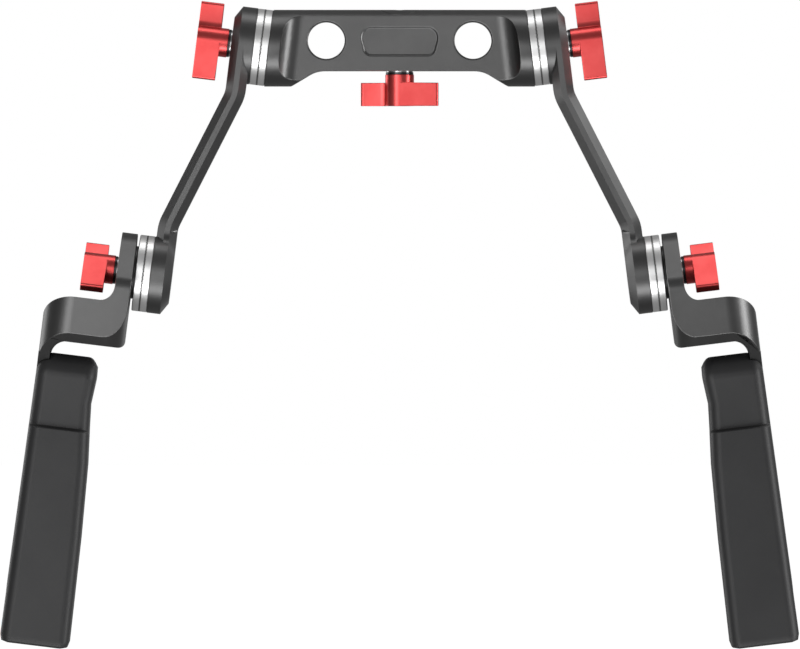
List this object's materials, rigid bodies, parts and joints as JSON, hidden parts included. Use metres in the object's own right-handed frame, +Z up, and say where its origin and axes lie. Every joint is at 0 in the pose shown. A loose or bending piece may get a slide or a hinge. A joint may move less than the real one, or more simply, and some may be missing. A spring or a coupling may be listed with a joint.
{
  "type": "shoulder rig front handgrip set",
  "caption": "Twin-rod clamp with two rosette-jointed offset arms that carry angled handgrips, locked by spring-loaded wing knobs.",
  "frame": {"origin": "midway between the two rod bore axes, at the middle of the clamp block's depth", "axes": "+X across the rig from rod to rod, +Y back along the rods, +Z up"},
  "size_m": [0.326, 0.0525, 0.2646],
  "materials": {
    "dark_anodised": "fine bead-blasted, dark grey anodised",
    "rosette_steel": "machined and satin polished",
    "red_anodised": "satin red anodised",
    "blackened_steel": "turned, black oxide",
    "screw_steel": "plated",
    "spring_steel": "bright drawn wire",
    "brass": "turned",
    "grip_rubber": "matt, finely textured"
  },
  "bodies": {
    "clamp": {"clamp_block": "dark_anodised", "pocket_plug": "dark_anodised", "block_rosette_screws": "screw_steel", "left_block_rosette": "rosette_steel", "right_block_rosette": "rosette_steel"},
    "rod_knob": {"rod_knob_washer": "blackened_steel", "rod_knob_stud": "blackened_steel", "rod_knob_cap_screw": "screw_steel", "rod_knob_spring": "spring_steel"},
    "rod_wing": {"rod_knob_wing": "red_anodised"},
    "wedge": {"wedge_nut": "brass"},
    "left_pin": {"left_push_pin": "brass"},
    "right_pin": {"right_push_pin": "brass"},
    "left_upper_washer": {"left_upper_knob_washer": "blackened_steel"},
    "left_upper_knob": {"left_upper_knob_stud": "blackened_steel", "left_upper_knob_cap_screw": "screw_steel", "left_upper_knob_spring": "spring_steel"},
    "left_upper_wing": {"left_upper_knob_wing": "red_anodised"},
    "left_arm": {"left_arm": "dark_anodised", "left_arm_upper_rosette": "rosette_steel", "left_arm_lower_rosette": "rosette_steel", "left_arm_rosette_screws": "screw_steel"},
    "left_lower_washer": {"left_lower_knob_washer": "blackened_steel"},
    "left_lower_knob": {"left_lower_knob_stud": "blackened_steel", "left_lower_knob_cap_screw": "screw_steel", "left_lower_knob_spring": "spring_steel"},
    "left_lower_wing": {"left_lower_knob_wing": "red_anodised"},
    "left_grip": {"left_grip_bracket": "dark_anodised", "left_grip_rosette": "rosette_steel", "left_grip_rosette_screws": "screw_steel", "left_grip_shell": "grip_rubber", "left_grip_screws": "screw_steel"},
    "right_upper_washer": {"right_upper_knob_washer": "blackened_steel"},
    "right_upper_knob": {"right_upper_knob_stud": "blackened_steel", "right_upper_knob_cap_screw": "screw_steel", "right_upper_knob_spring": "spring_steel"},
    "right_upper_wing": {"right_upper_knob_wing": "red_anodised"},
    "right_arm": {"right_arm": "dark_anodised", "right_arm_upper_rosette": "rosette_steel", "right_arm_lower_rosette": "rosette_steel", "right_arm_rosette_screws": "screw_steel"},
    "right_lower_washer": {"right_lower_knob_washer": "blackened_steel"},
    "right_lower_knob": {"right_lower_knob_stud": "blackened_steel", "right_lower_knob_cap_screw": "screw_steel", "right_lower_knob_spring": "spring_steel"},
    "right_lower_wing": {"right_lower_knob_wing": "red_anodised"},
    "right_grip": {"right_grip_bracket": "dark_anodised", "right_grip_rosette": "rosette_steel", "right_grip_rosette_screws": "screw_steel", "right_grip_shell": "grip_rubber", "right_grip_screws": "screw_steel"}
  },
  "joints": [
    {"name": "rod_knob_turn", "type": "hinge", "parent": "clamp", "child": "rod_knob", "pos_m": [0, 0, -0.01245], "axis": [0, 0, -1], "range_deg": [0, 720]},
    {"name": "rod_wing_pull", "type": "slide", "parent": "rod_knob", "child": "rod_wing", "axis": [0, 0, -1], "range_m": [0, 0.0025], "stiffness_N_per_m": 1500, "deforming": ["rod_knob_spring"]},
    {"name": "wedge_draw", "type": "slide", "parent": "clamp", "child": "wedge", "axis": [0, 0, -1], "range_m": [0, 0.002]},
    {"name": "left_pin_push", "type": "slide", "parent": "clamp", "child": "left_pin", "axis": [-1, 0, 0], "range_m": [0, 0.0006]},
    {"name": "right_pin_push", "type": "slide", "parent": "clamp", "child": "right_pin", "axis": [1, 0, 0], "range_m": [0, 0.0006]},
    {"name": "left_upper_release", "type": "slide", "parent": "clamp", "child": "left_upper_washer", "axis": [-0.9925, 0, 0.1219], "range_m": [0, 0.0015]},
    {"name": "left_arm_index", "type": "hinge", "parent": "left_upper_washer", "child": "left_arm", "pos_m": [-0.05663, 0, -0.00272], "axis": [-0.9925, 0, 0.1219], "continuous": true},
    {"name": "left_upper_knob_turn", "type": "hinge", "parent": "left_upper_washer", "child": "left_upper_knob", "pos_m": [-0.05663, 0, -0.00272], "axis": [-0.9925, 0, 0.1219], "range_deg": [0, 540]},
    {"name": "left_upper_wing_pull", "type": "slide", "parent": "left_upper_knob", "child": "left_upper_wing", "axis": [-0.9925, 0, 0.1219], "range_m": [0, 0.0025], "stiffness_N_per_m": 1500, "deforming": ["left_upper_knob_spring"]},
    {"name": "left_lower_release", "type": "slide", "parent": "left_arm", "child": "left_lower_washer", "axis": [-0.9925, 0, 0.1219], "range_m": [0, 0.0015]},
    {"name": "left_grip_index", "type": "hinge", "parent": "left_lower_washer", "child": "left_grip", "pos_m": [-0.10456, -0.01, -0.09526], "axis": [-0.9925, 0, 0.1219], "continuous": true},
    {"name": "left_lower_knob_turn", "type": "hinge", "parent": "left_lower_washer", "child": "left_lower_knob", "pos_m": [-0.10456, -0.01, -0.09526], "axis": [-0.9925, 0, 0.1219], "range_deg": [0, 540]},
    {"name": "left_lower_wing_pull", "type": "slide", "parent": "left_lower_knob", "child": "left_lower_wing", "axis": [-0.9925, 0, 0.1219], "range_m": [0, 0.0025], "stiffness_N_per_m": 1500, "deforming": ["left_lower_knob_spring"]},
    {"name": "right_upper_release", "type": "slide", "parent": "clamp", "child": "right_upper_washer", "axis": [0.9925, 0, 0.1219], "range_m": [0, 0.0015]},
    {"name": "right_arm_index", "type": "hinge", "parent": "right_upper_washer", "child": "right_arm", "pos_m": [0.05663, 0, -0.00272], "axis": [0.9925, 0, 0.1219], "continuous": true},
    {"name": "right_upper_knob_turn", "type": "hinge", "parent": "right_upper_washer", "child": "right_upper_knob", "pos_m": [0.05663, 0, -0.00272], "axis": [0.9925, 0, 0.1219], "range_deg": [0, 540]},
    {"name": "right_upper_wing_pull", "type": "slide", "parent": "right_upper_knob", "child": "right_upper_wing", "axis": [0.9925, 0, 0.1219], "range_m": [0, 0.0025], "stiffness_N_per_m": 1500, "deforming": ["right_upper_knob_spring"]},
    {"name": "right_lower_release", "type": "slide", "parent": "right_arm", "child": "right_lower_washer", "axis": [0.9925, 0, 0.1219], "range_m": [0, 0.0015]},
    {"name": "right_grip_index", "type": "hinge", "parent": "right_lower_washer", "child": "right_grip", "pos_m": [0.10456, -0.01, -0.09526], "axis": [0.9925, 0, 0.1219], "continuous": true},
    {"name": "right_lower_knob_turn", "type": "hinge", "parent": "right_lower_washer", "child": "right_lower_knob", "pos_m": [0.10456, -0.01, -0.09526], "axis": [0.9925, 0, 0.1219], "range_deg": [0, 540]},
    {"name": "right_lower_wing_pull", "type": "slide", "parent": "right_lower_knob", "child": "right_lower_wing", "axis": [0.9925, 0, 0.1219], "range_m": [0, 0.0025], "stiffness_N_per_m": 1500, "deforming": ["right_lower_knob_spring"]}
  ],
  "couplings": [
    {"joint": "rod_knob_turn", "follows": "wedge_draw", "rad_per_m": 6283.2},
    {"joint": "left_pin_push", "follows": "wedge_draw", "ratio": 0.26795},
    {"joint": "right_pin_push", "follows": "wedge_draw", "ratio": 0.26795},
    {"joint": "left_upper_knob_turn", "follows": "left_upper_release", "rad_per_m": 6283.2},
    {"joint": "left_lower_knob_turn", "follows": "left_lower_release", "rad_per_m": 6283.2},
    {"joint": "right_upper_knob_turn", "follows": "right_upper_release", "rad_per_m": 6283.2},
    {"joint": "right_lower_knob_turn", "follows": "right_lower_release", "rad_per_m": 6283.2}
  ]
}
